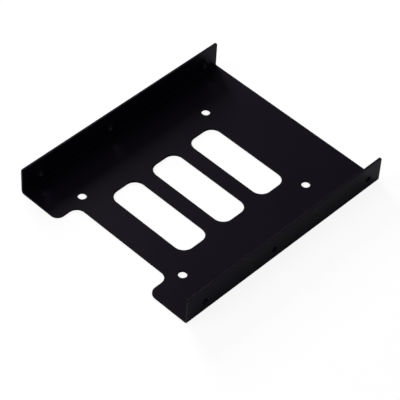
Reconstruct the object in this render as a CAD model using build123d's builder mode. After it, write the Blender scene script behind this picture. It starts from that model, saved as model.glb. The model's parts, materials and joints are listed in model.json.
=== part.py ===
# Drive bay adapter bracket: one steel sheet, punched and then folded up along both long sides into a
# shallow tray. A small drive is screwed down between the flanges, and the tray goes into the bay of a
# large drive, where the side screws of the bay thread into both flanges.
#
# Sizes are in millimetres. The origin is on the underside of the tray, at the middle of its width and
# length. X runs across the bracket, Y runs along the flanges away from the notched end, and Z is up.

from build123d import *
import os

# Sheet and folds
bracket_width = 101.6  # over the outsides of both flanges, as wide as the large drive it stands in for
sheet_thickness = 1.0
bend_inside_radius = 0.5
flange_corner_radius = 1.0  # on the free corners of both flanges

# Tapped holes in both flanges, on the side-hole pitch of a large drive. Each is drawn inwards by its
# punch, so that a collar gives the thread more depth than the sheet has.
bay_tap_diameter = 2.9  # bore inside the crests of the thread
bay_lead_in = 0.3  # chamfer at the mouth of the bore, on the outside of the flange
collar_depth = 1.1  # how far the collar stands in from the flange
collar_wall = 0.75
collar_easing = 0.25  # chamfer at the foot of the collar and round its free end
bay_hole_height = 6.35  # centre above the underside of the tray
bay_hole_near_pitch = 41.61  # from the first hole to the second
bay_hole_span = 101.6  # from the first hole to the last
bay_hole_to_notched_end = 10.2
bay_hole_to_plain_end = 8.2
bay_hole_to_flange_top = 8.15

# Screw holes in the tray, on the bottom-hole pattern of a small drive
drive_hole_diameter = 4.0
drive_holes_across = 61.72
drive_holes_along = 76.6
drive_holes_to_notched_end = 17.4  # from the notched end to the first pair

# Slots punched across the middle of the tray
slot_count = 3
slot_length = 46.0
slot_width = 16.2
slot_web = 7.8  # metal left between one slot and the next
slot_corner_radius = 5.2
slots_to_notched_end = 25.8  # from the notched end to the edge of the first slot

# Notch in the end of the tray, where the plugs of the small drive reach it
notch_width = 56.0
notch_depth = 11.9
notch_mouth_radius = 3.8  # outer corners, on the two tabs beside the notch
notch_root_radius = 4.4  # inner corners

# Overall sizes and places that follow from them
bracket_length = bay_hole_to_notched_end + bay_hole_span + bay_hole_to_plain_end
flange_height = bay_hole_height + bay_hole_to_flange_top
bend_outside_radius = bend_inside_radius + sheet_thickness
notched_end = -bracket_length / 2
half_width = bracket_width / 2

first_bay_hole = notched_end + bay_hole_to_notched_end
bay_hole_places = [first_bay_hole, first_bay_hole + bay_hole_near_pitch, first_bay_hole + bay_hole_span]
drive_holes_middle = notched_end + drive_holes_to_notched_end + drive_holes_along / 2
slot_pitch = slot_width + slot_web
slots_middle = notched_end + slots_to_notched_end + slot_width / 2 + slot_pitch * (slot_count - 1) / 2


with BuildPart() as bracket:
    # The folded section is drawn as the outer skin of the sheet and thickened inwards, so that the inside
    # and outside of each bend share one centre.
    with BuildSketch(Plane.XZ) as folded_section:
        with BuildLine() as outer_skin:
            FilletPolyline(
                (-half_width, flange_height),
                (-half_width, 0),
                (half_width, 0),
                (half_width, flange_height),
                radius=bend_outside_radius,
            )
            offset(amount=sheet_thickness, side=Side.LEFT)
        make_face()
    extrude(amount=bracket_length / 2, both=True)

    # Free corners of the flanges
    flange_corners = bracket.edges().filter_by(Axis.X).group_by(Axis.Z)[-1]
    fillet(flange_corners, radius=flange_corner_radius)

    # Slots across the tray
    with BuildSketch(Plane.XY) as slots:
        with Locations((0, slots_middle)):
            with GridLocations(0, slot_pitch, 1, slot_count):
                RectangleRounded(slot_length, slot_width, slot_corner_radius)
    extrude(amount=sheet_thickness, mode=Mode.SUBTRACT)

    # Notch in the end of the tray, cut square and then rounded at its mouth and at its root
    with BuildSketch(Plane.XY) as notch:
        with Locations((0, notched_end)):
            Rectangle(notch_width, 2 * notch_depth)
    extrude(amount=sheet_thickness, mode=Mode.SUBTRACT)
    notch_corners = bracket.edges(Select.LAST).filter_by(Axis.Z).group_by(Axis.Y)
    fillet(notch_corners[0], radius=notch_mouth_radius)
    fillet(notch_corners[-1], radius=notch_root_radius)

    # Screw holes for the small drive
    with Locations(Plane.XY.offset(sheet_thickness)):
        with Locations((0, drive_holes_middle)):
            with GridLocations(drive_holes_across, drive_holes_along, 2, 2):
                Hole(radius=drive_hole_diameter / 2, depth=sheet_thickness)

    # Tapped holes for the screws of the bay, alike in the flange on -X and in the flange on +X. The plane
    # on the outside of each flange has its own X along the flange and its own Y up.
    for side in (-1, 1):
        outward = Axis((0, 0, 0), (side, 0, 0))
        outside = Plane((side * half_width, 0, 0), x_dir=(0, side, 0), z_dir=(side, 0, 0))
        places_on_flange = [(side * place, bay_hole_height) for place in bay_hole_places]

        with Locations(outside.offset(-sheet_thickness)):
            with Locations(*places_on_flange):
                Cylinder(
                    radius=bay_tap_diameter / 2 + collar_wall,
                    height=collar_depth,
                    align=(Align.CENTER, Align.CENTER, Align.MAX),
                )
        foot_and_end = bracket.edges(Select.LAST).filter_by(GeomType.CIRCLE)
        chamfer(foot_and_end, length=collar_easing)

        with Locations(outside):
            with Locations(*places_on_flange):
                Hole(radius=bay_tap_diameter / 2, depth=sheet_thickness + collar_depth)
        mouths = bracket.edges(Select.LAST).filter_by(GeomType.CIRCLE).group_by(outward)[-1]
        chamfer(mouths, length=bay_lead_in)

bracket.part.label = "bracket"

os.makedirs("parts", exist_ok=True)
export_step(bracket.part, "parts/bracket.step")
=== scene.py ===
"""Looks of a drive bay adapter bracket: one steel sheet, punched, folded, tapped and coated black.

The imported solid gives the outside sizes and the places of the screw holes. The sheet is modelled again
here with its rounded edges and cut threads, given its coat, and set in a plain white studio under the
camera of the photograph.
"""

from __future__ import annotations

import json
import logging
import math
from contextlib import contextmanager
from dataclasses import dataclass, field
from enum import Enum
from typing import Callable, Iterator

import bmesh
import bpy
from mathutils import Matrix, Vector

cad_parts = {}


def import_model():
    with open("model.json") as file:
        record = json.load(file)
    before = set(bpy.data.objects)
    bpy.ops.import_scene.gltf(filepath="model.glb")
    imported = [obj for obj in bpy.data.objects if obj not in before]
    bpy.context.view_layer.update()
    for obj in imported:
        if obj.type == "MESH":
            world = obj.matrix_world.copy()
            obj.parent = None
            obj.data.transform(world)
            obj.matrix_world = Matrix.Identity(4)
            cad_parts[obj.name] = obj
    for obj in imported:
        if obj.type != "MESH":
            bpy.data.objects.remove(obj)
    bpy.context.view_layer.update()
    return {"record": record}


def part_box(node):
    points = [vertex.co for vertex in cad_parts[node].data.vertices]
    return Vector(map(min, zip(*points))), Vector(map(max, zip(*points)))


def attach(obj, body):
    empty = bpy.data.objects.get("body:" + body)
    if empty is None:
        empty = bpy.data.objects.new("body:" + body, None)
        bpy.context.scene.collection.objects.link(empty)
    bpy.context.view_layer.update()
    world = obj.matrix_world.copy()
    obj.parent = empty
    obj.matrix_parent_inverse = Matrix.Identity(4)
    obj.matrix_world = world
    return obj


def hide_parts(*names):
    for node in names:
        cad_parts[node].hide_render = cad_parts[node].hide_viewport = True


log = logging.getLogger("bracket")

MM = 0.001
HAIR = 0.001 * MM  # what lies nearer than this is taken to be in the same place

Point = tuple[float, float, float]
Colour = tuple[float, float, float]
Tone = Colour | float | bpy.types.NodeSocket
Test = Callable[[Vector], bool]


class Flange(Enum):
    """The two folded sides of the sheet, by the sign of X on which each stands."""

    LEFT = -1
    RIGHT = 1


class Element(Enum):
    """What an edit-mode selection is made of."""

    VERT = "verts"
    EDGE = "edges"
    FACE = "faces"


class Face(Enum):
    """The kinds of surface on the sheet, by the material slot that each one has."""

    FLAT = 0
    CUT = 1
    CORNER = 2


@dataclass(frozen=True)
class Block:
    """A box-shaped region of space, used to pick out what lies in it."""

    low: Point
    high: Point

    @classmethod
    def around(cls, centre: Point, half: Point) -> Block:
        """Makes a region from its middle and its half sizes.

        Args:
            centre: The middle of the region.
            half: Half of its size along X, Y and Z.

        Returns:
            The region.
        """
        low = tuple(c - h for c, h in zip(centre, half))
        high = tuple(c + h for c, h in zip(centre, half))
        return cls(low, high)

    def holds(self, point: Vector) -> bool:
        """Tells whether a point lies in the region or on its border."""
        return all(lo - HAIR <= p <= hi + HAIR for lo, p, hi in zip(self.low, point, self.high))


@dataclass(frozen=True)
class Ring:
    """A circle about an axis along X, used to pick out the rim of a hole through a flange."""

    centre: Point
    radius: float
    slack: float = 0.02 * MM

    def holds(self, point: Vector) -> bool:
        """Tells whether a point lies on the circle, at its place along X."""
        x, y, z = self.centre
        off_axis = math.hypot(point.y - y, point.z - z)
        return abs(point.x - x) < HAIR and abs(off_axis - self.radius) < self.slack


def take_up(piece: bpy.types.Object) -> None:
    """Makes one object the active one and the only one selected."""
    bpy.ops.object.select_all(action="DESELECT")
    piece.select_set(True)
    bpy.context.view_layer.objects.active = piece


@contextmanager
def editing(piece: bpy.types.Object) -> Iterator[None]:
    """Opens one piece in edit mode for the length of a with block.

    Args:
        piece: The mesh object to edit. Nothing else stays selected.

    Yields:
        Nothing.
    """
    take_up(piece)
    bpy.ops.object.mode_set(mode="EDIT")
    yield
    bpy.ops.object.mode_set(mode="OBJECT")


def middle(part: bmesh.types.BMVert | bmesh.types.BMEdge | bmesh.types.BMFace) -> Vector:
    """Gives the middle point of a vertex, an edge or a face."""
    if isinstance(part, bmesh.types.BMVert):
        return part.co
    if isinstance(part, bmesh.types.BMEdge):
        return (part.verts[0].co + part.verts[1].co) / 2
    return part.calc_center_bounds()


def pick(piece: bpy.types.Object, element: Element, wanted: Test) -> None:
    """In edit mode, selects what has its middle in a place, and nothing else.

    Args:
        piece: The object that is open in edit mode.
        element: Whether vertices, edges or faces are picked.
        wanted: A test of the middle point.
    """
    bpy.ops.mesh.select_mode(type=element.name)
    bpy.ops.mesh.select_all(action="DESELECT")
    mesh = bmesh.from_edit_mesh(piece.data)
    for part in getattr(mesh, element.value):
        if wanted(middle(part)):
            part.select_set(True)
    mesh.select_flush_mode()
    bmesh.update_edit_mesh(piece.data)


def apply_modifier(piece: bpy.types.Object, kind: str, **settings: object) -> None:
    """Adds a modifier to a piece, sets it and applies it.

    Args:
        piece: The mesh object.
        kind: The modifier's type, such as BEVEL.
        **settings: The modifier's own settings, by name.
    """
    take_up(piece)
    modifier = piece.modifiers.new(kind.title(), kind)
    for name, value in settings.items():
        setattr(modifier, name, value)
    bpy.ops.object.modifier_apply(modifier=modifier.name)


class Shading:
    """A material's or a world's node tree, with short ways to add and join its nodes."""

    def __init__(self, owner: bpy.types.Material | bpy.types.World) -> None:
        """Empties the node tree of a material or a world.

        Args:
            owner: The material or world whose tree this is.
        """
        owner.use_nodes = True
        self.tree = owner.node_tree
        self.tree.nodes.clear()

    def add(self, kind: str, **settings: object) -> bpy.types.Node:
        """Adds a node.

        Args:
            kind: The node's type, without ShaderNode in front.
            **settings: The node's own settings, by name.

        Returns:
            The new node.
        """
        node = self.tree.nodes.new(f"ShaderNode{kind}")
        for name, value in settings.items():
            setattr(node, name, value)
        return node

    def feed(self, node: bpy.types.Node, **inputs: object) -> bpy.types.NodeSocket | None:
        """Sets or joins a node's inputs.

        Args:
            node: The node that is fed.
            **inputs: A value or an output socket for each input, by its name in small letters.

        Returns:
            The node's first output, or nothing for a node that ends the tree.
        """
        for name, value in inputs.items():
            label = name.replace("_", " ").title()
            socket = next(s for s in node.inputs if s.name.title() == label and s.enabled)
            if isinstance(value, bpy.types.NodeSocket):
                self.tree.links.new(value, socket)
            else:
                socket.default_value = value
        return next((s for s in node.outputs if s.enabled), None)

    def calculate(self, operation: str, *values: float | bpy.types.NodeSocket) -> bpy.types.NodeSocket:
        """Adds a Math node.

        Args:
            operation: What it does, such as MULTIPLY.
            *values: Its inputs, in order, each a number or an output socket.

        Returns:
            Its result.
        """
        node = self.add("Math", operation=operation)
        for socket, value in zip(node.inputs, values):
            if isinstance(value, bpy.types.NodeSocket):
                self.tree.links.new(value, socket)
            else:
                socket.default_value = value
        return node.outputs[0]

    def blend(self, share: bpy.types.NodeSocket, start: Tone, end: Tone) -> bpy.types.NodeSocket:
        """Adds a blend from one colour or number to another.

        Args:
            share: How far the blend has gone, from 0 to 1.
            start: The colour or number at 0.
            end: The colour or number at 1.

        Returns:
            The blended colour or number.
        """
        if isinstance(start, tuple):
            mix = self.add("Mix", data_type="RGBA")
            return self.feed(mix, factor=share, a=(*start, 1), b=(*end, 1))
        return self.feed(self.add("Mix", data_type="FLOAT"), factor=share, a=start, b=end)

    def place(self) -> bpy.types.NodeSocket:
        """Gives each point's place on the bracket, in the bracket's own frame."""
        return self.add("TexCoord").outputs["Object"]

    def whiteness(self, seen: float, mirrored: float) -> bpy.types.NodeSocket:
        """Works out how far a surface is plain white, by the way that it is looked at.

        Args:
            seen: How white it is when it is seen straight.
            mirrored: How white it is in a reflection or through glass.

        Returns:
            How white it is, from 0 to 1, which is 0 for the light that it casts.
        """
        path = self.add("LightPath").outputs
        straight = self.calculate("MULTIPLY", path["Is Camera Ray"], seen)
        other = self.calculate("MAXIMUM", path["Is Glossy Ray"], path["Is Transmission Ray"])
        return self.calculate("MAXIMUM", straight, self.calculate("MULTIPLY", other, mirrored))


@dataclass(frozen=True)
class Grain:
    """One layer of unevenness in a coat: how large its features are, and how high they stand."""

    size: float
    height: float = 0.0
    detail: float = 2.0
    stretch: Point = (1.0, 1.0, 1.0)

    def pattern(self, shading: Shading) -> bpy.types.NodeSocket:
        """Adds this layer's noise to a material.

        Args:
            shading: The material's nodes.

        Returns:
            The noise, from 0 to 1.
        """
        place = shading.feed(shading.add("Mapping"), vector=shading.place(), scale=self.stretch)
        noise = shading.add("TexNoise")
        return shading.feed(noise, vector=place, scale=1 / self.size, detail=self.detail)


@dataclass(frozen=True)
class BlackCoat:
    """Matt black powder coat on steel, with the fine skin that it cures to.

    The tone and the gloss drift slowly where the powder fell thicker or thinner. The gloss is a little
    cool, and so is the faint haze that the matting powder gives at a flat angle. The coat's layers of
    relief are a long wave, the orange peel and the grain of the powder.
    """

    name: str = "black_coat"
    thick_tone: Colour = (0.0010, 0.0007, 0.0016)
    thin_tone: Colour = (0.0017, 0.0012, 0.0025)
    roughness: tuple[float, float] = (0.38, 0.44)
    specular: float = 0.038
    gloss_tint: Colour = (0.86, 0.78, 1.0)
    haze: float = 0.016
    haze_spread: float = 0.5
    haze_tint: Colour = (0.45, 0.25, 1.0)
    cloud: Grain = Grain(size=22 * MM, detail=3.0)
    layers: tuple[Grain, ...] = (
        Grain(size=30 * MM, height=0.02 * MM, detail=1.0),
        Grain(size=0.9 * MM, height=0.006 * MM),
        Grain(size=0.25 * MM, height=0.0015 * MM),
    )

    def reliefs(self, shading: Shading) -> list[tuple[bpy.types.NodeSocket, float]]:
        """Adds the patterns that stand up from the surface.

        Args:
            shading: The material's nodes.

        Returns:
            Each pattern and its height, the lowest layer first.
        """
        return [(layer.pattern(shading), layer.height) for layer in self.layers]

    def material(self) -> bpy.types.Material:
        """Makes the material.

        Returns:
            A node material for one kind of surface.
        """
        material = bpy.data.materials.new(self.name)
        shading = Shading(material)
        cloud = self.cloud.pattern(shading)
        under = {}
        for pattern, height in self.reliefs(shading):
            relief = shading.feed(shading.add("Bump"), height=pattern, distance=height, **under)
            under = {"normal": relief}
        coat = shading.feed(
            shading.add("BsdfPrincipled"),
            base_color=shading.blend(cloud, self.thick_tone, self.thin_tone),
            roughness=shading.blend(cloud, *self.roughness),
            specular_ior_level=self.specular,
            specular_tint=(*self.gloss_tint, 1),
            sheen_weight=self.haze,
            sheen_roughness=self.haze_spread,
            sheen_tint=(*self.haze_tint, 1),
            **under,
        )
        shading.feed(shading.add("OutputMaterial"), surface=coat)
        return material


@dataclass(frozen=True)
class CoatOnCut(BlackCoat):
    """The same coat on a wall that the punch left, thin enough to show the streaks of the cut.

    The streaks run through the sheet: upright in the tray, and level in the flanges.
    """

    name: str = "black_coat_on_cut"
    thick_tone: Colour = (0.0012, 0.0009, 0.0018)
    thin_tone: Colour = (0.0028, 0.0023, 0.0036)
    roughness: tuple[float, float] = (0.44, 0.52)
    specular: float = 0.036
    streak_width: float = 0.22 * MM
    streak_height: float = 0.008 * MM
    streak_run: float = 0.06
    flange_from: float = 1.5 * MM

    def reliefs(self, shading: Shading) -> list[tuple[bpy.types.NodeSocket, float]]:
        """Adds the streaks of the cut under the layers of the coat.

        Args:
            shading: The material's nodes.

        Returns:
            Each pattern and its height, the lowest layer first.
        """
        upright = Grain(self.streak_width, stretch=(1, 1, self.streak_run)).pattern(shading)
        level = Grain(self.streak_width, stretch=(self.streak_run, 1, 1)).pattern(shading)
        split = shading.add("SeparateXYZ")
        shading.feed(split, vector=shading.place())
        in_flange = shading.calculate("GREATER_THAN", split.outputs["Z"], self.flange_from)
        streaks = shading.blend(in_flange, upright, level)
        return [(streaks, self.streak_height), *super().reliefs(shading)]


@dataclass(frozen=True)
class CoatOnCorner(BlackCoat):
    """The same coat drawn thin round a corner, where it is smoother and a little lighter: the lighter tone
    is partly the thin coat and partly a painted highlight along the rounded edges.
    """

    name: str = "black_coat_on_corner"
    # lighter tones than the flat coat: partly thin coat over the steel, partly a painted highlight on the
    # rounded edges
    thick_tone: Colour = (0.0014, 0.0011, 0.0020)
    thin_tone: Colour = (0.0030, 0.0025, 0.0038)
    roughness: tuple[float, float] = (0.34, 0.42)
    specular: float = 0.055
    cloud: Grain = Grain(size=3 * MM)
    layers: tuple[Grain, ...] = (Grain(size=0.9 * MM, height=0.003 * MM),)


@dataclass(frozen=True)
class Tap:
    """A tap for the side screws of a drive bay, and the thread that it cuts."""

    bore_radius: float = 1.45 * MM
    root_radius: float = 1.753 * MM
    root_flat: float = 0.1 * MM
    flank_angle: float = math.radians(60)
    pitch: float = 0.794 * MM
    turns: int = 4
    steps: int = 48
    reach_inside_bore: float = 0.1 * MM

    def half_width_at(self, radius: float) -> float:
        """Gives half the width of the groove at a distance from the axis of the hole.

        Args:
            radius: The distance from the axis of the hole.

        Returns:
            Half the width of the groove, measured along the axis.
        """
        return self.root_flat / 2 + (self.root_radius - radius) * math.tan(self.flank_angle / 2)

    def cutter(self, places: list[Point]) -> bpy.types.Object:
        """Models the helical cutters that leave the thread in a set of bores along X.

        Args:
            places: The middle of each bore.

        Returns:
            One mesh object that holds a closed helix for each bore.
        """
        inner = self.bore_radius - self.reach_inside_bore
        depth = self.root_radius - inner
        wide = self.half_width_at(inner)
        narrow = self.root_flat / 2
        bpy.ops.object.select_all(action="DESELECT")
        bpy.ops.mesh.primitive_plane_add(size=1.0, location=(0, 0, 0), rotation=(math.pi / 2, 0, 0))
        cutter = bpy.context.object
        bpy.ops.object.transform_apply(location=True, rotation=True, scale=True)
        with editing(cutter):
            bpy.ops.mesh.select_all(action="SELECT")
            bpy.ops.transform.resize(value=(depth, 1, 2 * wide), center_override=(0, 0, 0))
            bpy.ops.transform.translate(value=(inner + depth / 2, 0, 0))
            pick(cutter, Element.VERT, lambda p: p.x > inner + depth / 2)
            slimmer = (1, 1, narrow / wide)
            bpy.ops.transform.resize(value=slimmer, center_override=(self.root_radius, 0, 0))
            bpy.ops.mesh.select_all(action="SELECT")
            bpy.ops.transform.translate(value=(0, 0, -self.turns * self.pitch / 2))
            bpy.ops.mesh.delete(type="ONLY_FACE")
        apply_modifier(
            cutter,
            "SCREW",
            axis="Z",
            screw_offset=self.pitch,
            iterations=self.turns,
            steps=self.steps,
            render_steps=self.steps,
        )
        with editing(cutter):
            bpy.ops.mesh.select_all(action="SELECT")
            bpy.ops.mesh.fill_holes(sides=4)
            bpy.ops.mesh.select_all(action="SELECT")
            bpy.ops.mesh.normals_make_consistent(inside=False)
            bpy.ops.transform.rotate(value=math.pi / 2, orient_axis="Y", center_override=(0, 0, 0))
            bpy.ops.transform.translate(value=places[0])
            for last, place in zip(places, places[1:]):
                step = Vector(place) - Vector(last)
                bpy.ops.mesh.duplicate_move(TRANSFORM_OT_translate={"value": step})
        return cutter


@dataclass(frozen=True)
class Collar:
    """The ring of metal that the punch draws inwards round a tapped hole, and how its edges are rounded."""

    depth: float = 1.1 * MM
    wall: float = 0.75 * MM
    foot_rounding: float = 0.25 * MM
    end_rounding: float = 0.3 * MM
    mouth_rounding: float = 0.35 * MM
    steps: int = 4


@dataclass
class BracketSheet:
    """The folded sheet: a tray with slots, screw holes and a notch, between two flanges.

    The outer skin of the sheet is modelled first, as the underside of the tray and the outsides of
    the bends and flanges. It is thickened inwards, so that both faces of a bend share one centre. Each
    slot and hole is opened in a cell of its own, inside an even band, its apron, which keeps thin
    wedges of face away from the rounded rim.
    """

    low: Vector
    high: Vector
    drive_holes: list[Point]
    bay_holes: list[Point]
    finishes: dict[Face, bpy.types.Material]
    thickness: float = 1.0 * MM
    bend_radius: float = 1.5 * MM
    flange_corner: float = 1.0 * MM
    edge_rounding: float = 0.1 * MM
    drive_hole_radius: float = 2.0 * MM
    slot_length: float = 46.0 * MM
    slot_width: float = 16.2 * MM
    slot_corner: float = 5.2 * MM
    slot_pitch: float = 24.0 * MM
    slot_count: int = 3
    slots_from_notched_end: float = 25.8 * MM
    notch_width: float = 56.0 * MM
    notch_depth: float = 11.9 * MM
    notch_mouth: float = 3.8 * MM
    notch_root: float = 4.4 * MM
    drive_cell: tuple[float, float] = (3.86 * MM, 2.86 * MM)
    bay_cell: float = 3.2 * MM
    apron: float = 0.6 * MM
    arc_steps: int = 16
    bend_steps: int = 12
    edge_steps: int = 3
    straight_within: float = math.radians(1)
    smooth_within: float = math.radians(35)
    sharp_from: float = math.radians(50)
    tap: Tap = field(default_factory=Tap)
    collar: Collar = field(default_factory=Collar)

    @property
    def tray_half(self) -> float:
        """Half the width of the flat of the tray, between the bends."""
        return self.high.x - self.bend_radius

    @property
    def slots(self) -> list[Point]:
        """The middles of the slots, from the notched end."""
        first = self.low.y + self.slots_from_notched_end + self.slot_width / 2
        return [(0.0, first + i * self.slot_pitch, 0.0) for i in range(self.slot_count)]

    @property
    def columns(self) -> list[float]:
        """The lines across X that part the cells of the tray."""
        across = self.drive_cell[0]
        return sorted({x + d for x, _, _ in self.drive_holes for d in (-across, across)})

    @property
    def rows(self) -> list[float]:
        """The lines across Y that part the cells of the tray."""
        along = self.drive_cell[1]
        beside_holes = {y + d for _, y, _ in self.drive_holes for d in (-along, along)}
        between_slots = {y + self.slot_pitch / 2 for _, y, _ in self.slots[:-1]}
        return sorted(beside_holes | between_slots)

    def model(self) -> bpy.types.Object:
        """Models the whole sheet.

        Returns:
            The finished mesh object, at the origin.
        """
        bpy.ops.object.select_all(action="DESELECT")
        bpy.ops.mesh.primitive_plane_add(size=1.0, location=(0, 0, 0))
        sheet = bpy.context.object
        sheet.name = "bracket_sheet"
        sheet.data.name = sheet.name
        for face in Face:
            sheet.data.materials.append(self.finishes[face])
        with editing(sheet):
            self.blank()
            self.notch(sheet)
            self.cut_across([("x", x) for x in self.columns] + [("y", y) for y in self.rows])
            for place in self.slots:
                self.open_slot(sheet, place)
            for place in self.drive_holes:
                self.open_drive_hole(sheet, place)
            for side in Flange:
                self.fold(sheet, side)
            for place in self.bay_holes:
                self.open_bay_hole(sheet, place)
            self.face_outwards(sheet)
        self.thicken(sheet)
        with editing(sheet):
            for place in self.bay_holes:
                self.draw_collar(sheet, place)
        self.round_edges(sheet)
        self.cut_threads(sheet)
        self.smooth(sheet)
        return sheet

    def blank(self) -> None:
        """Brings the plane to the flat of the tray, on its underside."""
        bpy.ops.mesh.select_all(action="SELECT")
        size = (2 * self.tray_half, self.high.y - self.low.y, 1)
        bpy.ops.transform.resize(value=size, center_override=(0, 0, 0))

    def notch(self, sheet: bpy.types.Object) -> None:
        """Takes the notch out of the end of the tray and rounds its four corners."""
        half = self.notch_width / 2
        root_at = self.low.y + self.notch_depth
        self.cut_across([("x", -half), ("x", half), ("y", root_at)])
        pick(sheet, Element.FACE, Block((-half, self.low.y, 0), (half, root_at, 0)).holds)
        bpy.ops.mesh.delete(type="FACE")
        bpy.ops.mesh.select_all(action="SELECT")
        bpy.ops.mesh.dissolve_limited(angle_limit=self.straight_within)
        for y, radius in ((self.low.y, self.notch_mouth), (root_at, self.notch_root)):
            pick(sheet, Element.VERT, Block((-half, y, 0), (half, y, 0)).holds)
            self.round_corners(radius)

    def cut_across(self, lines: list[tuple[str, float]]) -> None:
        """Cuts all faces along straight lines.

        Args:
            lines: The axis that each cut crosses, and where.
        """
        for axis, at in lines:
            normal = Vector((axis == "x", axis == "y", 0))
            bpy.ops.mesh.select_all(action="SELECT")
            bpy.ops.mesh.bisect(plane_co=normal * at, plane_no=normal)

    def round_corners(self, radius: float) -> None:
        """Rounds the picked corners of a flat face to a radius."""
        bpy.ops.mesh.bevel(
            offset_type="OFFSET", offset=radius, segments=self.arc_steps, affect="VERTICES"
        )

    def open_cell(
        self,
        sheet: bpy.types.Object,
        cell: Block,
        place: Point,
        add_outline: Callable[[], None],
        *bands: float,
    ) -> None:
        """Opens a hole in the one face that fills a cell, inside bands of even width.

        Args:
            sheet: The sheet, open in edit mode.
            cell: The region that the face fills.
            place: The middle of the hole.
            add_outline: Adds a face of the shape of the outermost band, inside the cell.
            *bands: The width of each band, from the outside in.
        """
        pick(sheet, Element.FACE, cell.holds)
        bpy.ops.mesh.delete(type="ONLY_FACE")
        add_outline()
        pick(sheet, Element.FACE, cell.holds)
        bpy.ops.mesh.delete(type="ONLY_FACE")
        pick(sheet, Element.EDGE, cell.holds)
        bpy.ops.mesh.fill(use_beauty=True)
        add_outline()
        pick(sheet, Element.FACE, Block(place, place).holds)
        for width in bands:
            bpy.ops.mesh.inset(thickness=width)
        bpy.ops.mesh.delete(type="FACE")

    def open_slot(self, sheet: bpy.types.Object, place: Point) -> None:
        """Opens one slot, with rounded corners, in its cell of the tray."""
        near = max(y for y in self.rows if y < place[1])
        far = min(y for y in self.rows if y > place[1])
        side = min(x for x in self.columns if x > 0)

        def add_outline() -> None:
            """Adds a face of the slot's shape, larger by the apron."""
            bpy.ops.mesh.primitive_plane_add(size=1.0, location=place)
            size = (self.slot_length + 2 * self.apron, self.slot_width + 2 * self.apron, 1)
            bpy.ops.transform.resize(value=size, center_override=place)
            self.round_corners(self.slot_corner + self.apron)

        cell = Block((-side, near, 0), (side, far, 0))
        self.open_cell(sheet, cell, place, add_outline, self.apron)

    def add_circle(self, place: Point, radius: float, turn: Point) -> None:
        """Adds a round face, in edit mode.

        Args:
            place: Its middle.
            radius: Its radius.
            turn: Its rotation from flat.
        """
        bpy.ops.mesh.primitive_circle_add(
            vertices=4 * self.arc_steps,
            radius=radius,
            fill_type="NGON",
            location=place,
            rotation=turn,
        )

    def open_drive_hole(self, sheet: bpy.types.Object, place: Point) -> None:
        """Opens one screw hole for the small drive, in its cell of the tray."""
        cell = Block.around(place, (*self.drive_cell, 0))
        outer = self.drive_hole_radius + self.apron

        def add_outline() -> None:
            """Adds a round face, larger than the hole by the apron."""
            self.add_circle(place, outer, (0, 0, 0))

        self.open_cell(sheet, cell, place, add_outline, self.apron)

    def fold(self, sheet: bpy.types.Object, side: Flange) -> None:
        """Folds up one flange along the side of the tray, and rounds its free corners."""
        seam = side.value * self.tray_half
        outside = side.value * self.high.x
        pick(sheet, Element.EDGE, Block((seam, self.low.y, 0), (seam, self.high.y, 0)).holds)
        bpy.ops.mesh.spin(
            steps=self.bend_steps,
            angle=math.pi / 2,
            center=(seam, 0, self.bend_radius),
            axis=(0, side.value, 0),
        )
        rise = self.high.z - self.bend_radius
        bpy.ops.mesh.extrude_region_move(TRANSFORM_OT_translate={"value": (0, 0, rise)})
        for end in (self.low.y, self.high.y):
            corner = (outside, end, self.high.z)
            pick(sheet, Element.VERT, Block(corner, corner).holds)
            self.round_corners(self.flange_corner)

    def open_bay_hole(self, sheet: bpy.types.Object, place: Point) -> None:
        """Cuts a cell in the flange and opens one bore in it, inside a ring for its collar."""
        x, y, z = place
        column = Block((x, y - self.bay_cell, self.bend_radius), (x, y + self.bay_cell, self.high.z))
        whole = Block((x, self.low.y, self.bend_radius), (x, self.high.y, self.high.z))
        for region, normal in ((whole, Vector((0, 1, 0))), (column, Vector((0, 0, 1)))):
            for step in (-self.bay_cell, self.bay_cell):
                pick(sheet, Element.FACE, region.holds)
                bpy.ops.mesh.bisect(plane_co=Vector(place) + normal * step, plane_no=normal)
        cell = Block.around(place, (0, self.bay_cell, self.bay_cell))
        outer = self.tap.bore_radius + self.collar.wall + self.apron

        def add_outline() -> None:
            """Adds a round face in the flange, larger than the collar by the apron."""
            self.add_circle(place, outer, (0, math.pi / 2, 0))

        self.open_cell(sheet, cell, place, add_outline, self.apron, self.collar.wall)

    def face_outwards(self, sheet: bpy.types.Object) -> None:
        """Joins what meets, and turns all faces to the outside of the sheet."""
        bpy.ops.mesh.select_all(action="SELECT")
        bpy.ops.mesh.remove_doubles(threshold=HAIR)
        bpy.ops.mesh.normals_make_consistent(inside=False)
        tray = Block((self.low.x, self.low.y, 0), (self.high.x, self.high.y, 0))
        mesh = bmesh.from_edit_mesh(sheet.data)
        underside = next(f for f in mesh.faces if tray.holds(middle(f)))
        if underside.normal.z > 0:
            bpy.ops.mesh.flip_normals()

    def thicken(self, sheet: bpy.types.Object) -> None:
        """Gives the skin the thickness of the sheet, inwards, with a cut wall round each rim."""
        apply_modifier(
            sheet,
            "SOLIDIFY",
            thickness=self.thickness,
            offset=-1,
            use_even_offset=True,
            use_quality_normals=True,
            material_offset_rim=Face.CUT.value,
        )

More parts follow.
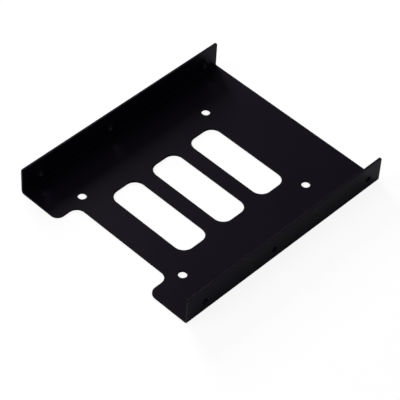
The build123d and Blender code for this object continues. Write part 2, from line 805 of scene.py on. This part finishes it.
    def draw_collar(self, sheet: bpy.types.Object, place: Point) -> None:
        """Draws the collar of one bore inwards, and rounds its foot, its end and the bore's mouth."""
        x, y, z = place
        bore, collar = self.tap.bore_radius, self.collar
        inwards = -math.copysign(1, x)
        foot = x + inwards * self.thickness
        end = foot + inwards * collar.depth
        pick(sheet, Element.FACE, Ring((foot, y, z), bore + collar.wall / 2, collar.wall / 2).holds)
        bpy.ops.mesh.extrude_region_move(TRANSFORM_OT_translate={"value": (end - foot, 0, 0)})
        pick(sheet, Element.FACE, Ring(((foot + end) / 2, y, z), bore).holds)
        sheet.active_material_index = Face.CUT.value
        bpy.ops.object.material_slot_assign()
        for at, radius, rounding in (
            (foot, bore + collar.wall, collar.foot_rounding),
            (end, bore + collar.wall, collar.end_rounding),
            (x, bore, collar.mouth_rounding),
        ):
            pick(sheet, Element.EDGE, Ring((at, y, z), radius).holds)
            bpy.ops.mesh.bevel(
                offset_type="OFFSET",
                offset=rounding,
                segments=collar.steps,
                affect="EDGES",
                loop_slide=False,
            )

    def round_edges(self, sheet: bpy.types.Object) -> None:
        """Rounds every edge that the punch left square, as the coat does."""
        apply_modifier(
            sheet,
            "BEVEL",
            width=self.edge_rounding,
            segments=self.edge_steps,
            limit_method="ANGLE",
            angle_limit=self.sharp_from,
            material=Face.CORNER.value,
        )

    def cut_threads(self, sheet: bpy.types.Object) -> None:
        """Taps the bores in the flanges."""
        inset = (self.thickness + self.collar.depth) / 2
        cutter = self.tap.cutter([(x - math.copysign(inset, x), y, z) for x, y, z in self.bay_holes])
        cutter.data.materials.append(self.finishes[Face.CUT])
        apply_modifier(sheet, "BOOLEAN", operation="DIFFERENCE", solver="EXACT", object=cutter)
        bpy.data.objects.remove(cutter)
        with editing(sheet):
            bpy.ops.mesh.select_all(action="SELECT")
            bpy.ops.mesh.remove_doubles(threshold=2 * HAIR)

    def smooth(self, sheet: bpy.types.Object) -> None:
        """Shades the bends and rims as round and the flats as flat."""
        take_up(sheet)
        bpy.ops.object.shade_smooth_by_angle(angle=self.smooth_within)
        apply_modifier(sheet, "WEIGHTED_NORMAL", keep_sharp=True)


@dataclass(frozen=True)
class PhotoCamera:
    """The camera of the photograph, as a turn about a point near the middle of the tray."""

    target: Point = (5.174 * MM, -6.171 * MM, 0.0)
    distance: float = 855.291 * MM
    azimuth: float = 41.9667
    elevation: float = 46.7838
    roll: float = 3.6929
    lens: float = 176.762
    sensor: float = 36.0

    def add(self) -> None:
        """Adds the camera and makes it the scene's own."""
        around, above = math.radians(self.azimuth), math.radians(self.elevation)
        back = Vector(
            (
                math.sin(around) * math.cos(above),
                -math.cos(around) * math.cos(above),
                math.sin(above),
            )
        )
        right = Vector((math.cos(around), math.sin(around), 0))
        level = Matrix((right, back.cross(right), back)).transposed()
        turned = level @ Matrix.Rotation(math.radians(self.roll), 3, "Z")
        data = bpy.data.cameras.new("photo_camera")
        data.lens = self.lens
        data.sensor_width = self.sensor
        camera = bpy.data.objects.new("photo_camera", data)
        bpy.context.collection.objects.link(camera)
        place = Matrix.Translation(Vector(self.target) + back * self.distance)
        camera.matrix_world = place @ turned.to_4x4()
        bpy.context.scene.camera = camera


@dataclass(frozen=True)
class SoftLamp:
    """A square lamp behind a diffuser, aimed at the middle of the bracket."""

    name: str
    place: Point
    width: float
    power: float

    def add(self) -> None:
        """Adds the lamp."""
        data = bpy.data.lights.new(self.name, "AREA")
        data.size = self.width
        data.energy = self.power
        lamp = bpy.data.objects.new(self.name, data)
        lamp.location = self.place
        lamp.rotation_euler = Vector(self.place).to_track_quat("Z", "Y").to_euler()
        bpy.context.collection.objects.link(lamp)


@dataclass(frozen=True)
class Studio:
    """A white floor under a white surround, with soft lamps.

    The floor and the surround are plain white to the camera, and a share of that white shows in the
    bracket's gloss. The rest of the floor is matt and lit by the lamps, so it keeps the bracket's shadow.
    """

    floor_radius: float = 3.0
    floor_sides: int = 96
    floor_drop: float = 0.05 * MM
    floor_tone: float = 0.75
    floor_white_seen: float = 0.9
    floor_white_mirrored: float = 0.03
    surround_light: float = 0.25
    surround_white_seen: float = 1.0
    surround_white_mirrored: float = 0.3
    lamps: tuple[SoftLamp, ...] = (
        SoftLamp("key_lamp", (-1.42, 0.47, 0.8), 0.65, 40.0),
        SoftLamp("fill_lamp", (-0.5, -1.15, 1.3), 1.0, 24.0),
    )

    def build(self) -> None:
        """Adds the floor, the surround and the lamps."""
        self.floor()
        self.surround()
        for lamp in self.lamps:
            lamp.add()

    def floor(self) -> None:
        """Adds the floor."""
        bpy.ops.object.select_all(action="DESELECT")
        bpy.ops.mesh.primitive_circle_add(
            vertices=self.floor_sides,
            radius=self.floor_radius,
            fill_type="NGON",
            location=(0, 0, -self.floor_drop),
        )
        floor = bpy.context.object
        floor.name = "studio_floor"
        material = bpy.data.materials.new("studio_floor")
        shading = Shading(material)
        matt = shading.feed(shading.add("BsdfDiffuse"), color=(*[self.floor_tone] * 3, 1))
        white = shading.feed(shading.add("Emission"), color=(1, 1, 1, 1), strength=1.0)
        mix = shading.add("MixShader")
        share = shading.whiteness(self.floor_white_seen, self.floor_white_mirrored)
        for socket, value in zip(mix.inputs, (share, matt, white)):
            shading.tree.links.new(value, socket)
        shading.feed(shading.add("OutputMaterial"), surface=mix.outputs[0])
        floor.data.materials.append(material)

    def surround(self) -> None:
        """Makes the world white to the eye, and a plain soft light to the bracket."""
        world = bpy.data.worlds.new("studio_surround")
        bpy.context.scene.world = world
        shading = Shading(world)
        share = shading.whiteness(self.surround_white_seen, self.surround_white_mirrored)
        strength = shading.blend(share, self.surround_light, 1.0)
        sky = shading.feed(shading.add("Background"), color=(1, 1, 1, 1), strength=strength)
        shading.feed(shading.add("OutputWorld"), surface=sky)


def bolt_places(record: dict, name: str) -> list[Point]:
    """Works out where the holes of one of the record's bolt patterns are.

    Args:
        record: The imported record.
        name: The name of the mount, whose pattern faces along Z or X.

    Returns:
        The middle of each hole, in metres.
    """
    mount = next(m for m in record["mounts"] if m["name"] == name)
    x, y, z = mount["pos_m"]
    first = mount["dims"]["spacing_x_mm"] / 2 * MM
    second = mount["dims"].get("spacing_y_mm", 0) / 2 * MM
    if second:
        return [(x + a, y + b, z) for b in (-second, second) for a in (-first, first)]
    return [(x, y + a, z) for a in (-first, first)]


def main() -> None:
    """Builds the bracket, its coat and the studio round it."""
    logging.basicConfig(level=logging.INFO, format="%(message)s")
    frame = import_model()
    bpy.context.scene.view_settings.view_transform = "Standard"
    PhotoCamera().add()
    Studio().build()
    low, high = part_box("bracket")
    record = frame["record"]
    tray_holes = [(x, y, 0.0) for x, y, _ in bolt_places(record, "drive_screw_holes")]
    flange_holes = []
    for side in Flange:
        first_and_second = bolt_places(record, f"bay_screw_holes_near_{side.name.lower()}")
        _, last = bolt_places(record, f"bay_screw_holes_{side.name.lower()}")
        flange_holes += [*first_and_second, last]
    finishes = {
        Face.FLAT: BlackCoat().material(),
        Face.CUT: CoatOnCut().material(),
        Face.CORNER: CoatOnCorner().material(),
    }
    sheet = BracketSheet(low, high, tray_holes, flange_holes, finishes).model()
    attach(sheet, "root")
    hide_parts("bracket")
    log.info("bracket sheet: %d faces", len(sheet.data.polygons))


if __name__ == "__main__":
    main()
